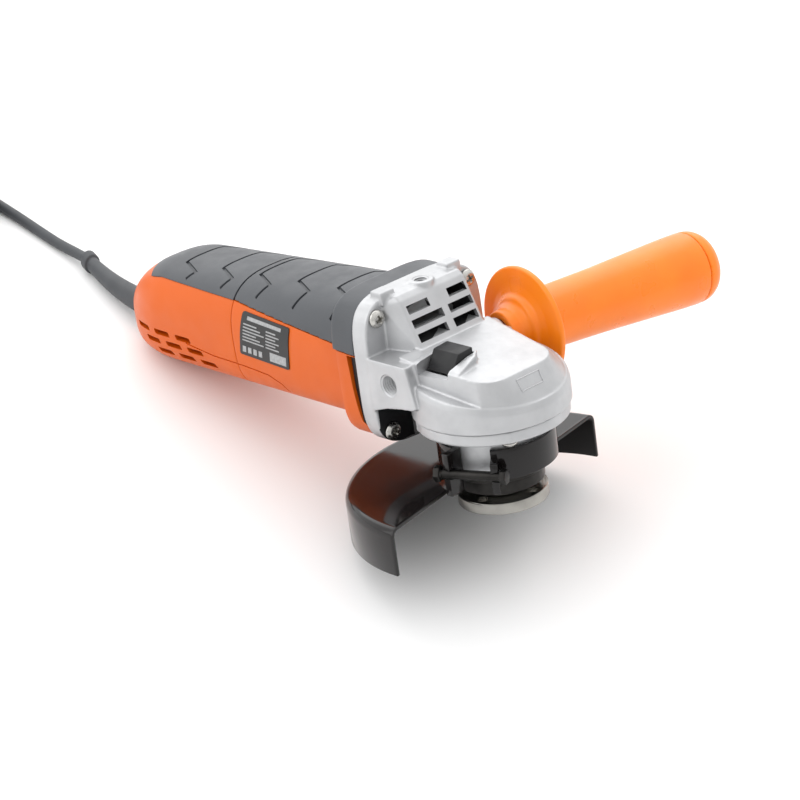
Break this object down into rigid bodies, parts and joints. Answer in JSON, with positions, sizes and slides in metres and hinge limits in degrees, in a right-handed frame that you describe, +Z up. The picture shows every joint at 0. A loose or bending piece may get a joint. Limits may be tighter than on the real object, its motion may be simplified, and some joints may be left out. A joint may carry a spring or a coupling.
{
  "type": "angle grinder",
  "caption": "Corded angle grinder with orange motor body, cast gear head, adjustable guard, side handle, spindle lock and mains lead, lying on a bench.",
  "frame": {"origin": "centre of the bounding box at the floor, measured without the lead, its strain relief, coil and plug", "axes": "+X runs level from the lead end to the gear head, +Y level towards the side handle, +Z up from the floor; the tool itself lies nose up by 15.4 degrees and over towards its handle by 2.6 degrees"},
  "size_m": [0.5135, 0.2214, 0.1106],
  "materials": {
    "cast_aluminium": "light silver-grey cast aluminium, fine satin grain",
    "orange_plastic": "orange moulded housing plastic, satin",
    "handle_plastic": "brighter orange handle plastic, slightly translucent",
    "black_plastic": "black moulded plastic",
    "grip_rubber": "mid grey soft grip rubber",
    "cord_rubber": "dark grey cable rubber",
    "bright_steel": "machined zinc-bright steel",
    "dark_steel": "dark oiled steel",
    "guard_paint": "gloss black paint on sheet steel",
    "copper": "enamelled copper",
    "carbon": "pressed carbon",
    "label_film": "printed dark label film",
    "brass": "plain brass"
  },
  "bodies": {
    "tool_body": {"gear_housing": "cast_aluminium", "bearing_cover": "cast_aluminium", "bearing_retainer": "dark_steel", "bearing_plate": "cast_aluminium", "gear_case_screw_1": "bright_steel", "gear_case_screw_2": "bright_steel", "gear_case_screw_3": "bright_steel", "gear_case_screw_4": "bright_steel", "cover_screw_1": "bright_steel", "cover_screw_2": "bright_steel", "cover_screw_3": "bright_steel", "cover_screw_4": "bright_steel", "spindle_bearing": "bright_steel", "spindle_bush": "brass", "front_bearing": "bright_steel", "rear_bearing": "bright_steel", "lock_spring": "bright_steel", "motor_housing": "orange_plastic", "rear_cover": "orange_plastic", "grip_front": "grip_rubber", "grip_rear": "grip_rubber", "rating_label": "label_film", "rear_cover_screw_1": "bright_steel", "rear_cover_screw_2": "bright_steel", "stator": "dark_steel", "field_coil_1": "copper", "field_coil_2": "copper", "brush_holder_1": "brass", "carbon_brush_1": "carbon", "brush_holder_2": "brass", "carbon_brush_2": "carbon", "switch_body": "black_plastic", "capacitor": "label_film", "cord_clamp": "black_plastic", "cord_clamp_screw_1": "bright_steel", "cord_clamp_screw_2": "bright_steel", "strain_relief": "cord_rubber", "cord": "cord_rubber", "cord_coil": "cord_rubber", "plug": "cord_rubber"},
    "spindle_set": {"spindle": "bright_steel", "crown_gear": "dark_steel", "inner_flange": "dark_steel"},
    "flange_nut": {"flange_nut": "bright_steel"},
    "armature": {"armature_shaft": "bright_steel", "armature_core": "dark_steel", "commutator": "copper", "cooling_fan": "black_plastic", "pinion": "dark_steel"},
    "lock_plunger": {"lock_button": "black_plastic", "lock_pin": "bright_steel"},
    "switch_slide": {"switch_slider": "black_plastic", "switch_rod": "black_plastic"},
    "guard_set": {"guard": "guard_paint", "clamp_band": "guard_paint", "clamp_screw": "dark_steel", "clamp_nut": "dark_steel"},
    "side_handle": {"side_handle": "handle_plastic", "handle_cap": "handle_plastic", "handle_stud": "bright_steel"}
  },
  "joints": [
    {"name": "spindle_spin", "type": "hinge", "parent": "tool_body", "child": "spindle_set", "pos_m": [0.09102, -0.04021, 0.08403], "axis": [-0.2653, 0.0454, 0.9631], "continuous": true},
    {"name": "flange_nut_turn", "type": "hinge", "parent": "spindle_set", "child": "flange_nut", "pos_m": [0.10587, -0.04275, 0.0301], "axis": [-0.2653, 0.0454, 0.9631], "continuous": true},
    {"name": "armature_spin", "type": "hinge", "parent": "tool_body", "child": "armature", "pos_m": [0.00425, -0.04021, 0.06013], "axis": [0.9641, 0, 0.2656], "continuous": true},
    {"name": "lock_press", "type": "slide", "parent": "tool_body", "child": "lock_plunger", "axis": [0.2653, -0.0454, -0.9631], "range_m": [0, 0.004], "stiffness_N_per_m": 800, "springref_m": -0.002, "deforming": ["lock_spring"]},
    {"name": "switch_slide", "type": "slide", "parent": "tool_body", "child": "switch_slide", "axis": [0.9641, 0, 0.2656], "range_m": [0, 0.007]},
    {"name": "guard_turn", "type": "hinge", "parent": "tool_body", "child": "guard_set", "pos_m": [0.10163, -0.04202, 0.04551], "axis": [-0.2653, 0.0454, 0.9631], "range_deg": [-90, 90]},
    {"name": "handle_turn", "type": "hinge", "parent": "tool_body", "child": "side_handle", "pos_m": [0.06758, -0.00924, 0.07612], "axis": [0.1197, 0.991, -0.0602], "continuous": true}
  ],
  "couplings": [
    {"joint": "armature_spin", "follows": "spindle_spin", "ratio": -3.3}
  ]
}
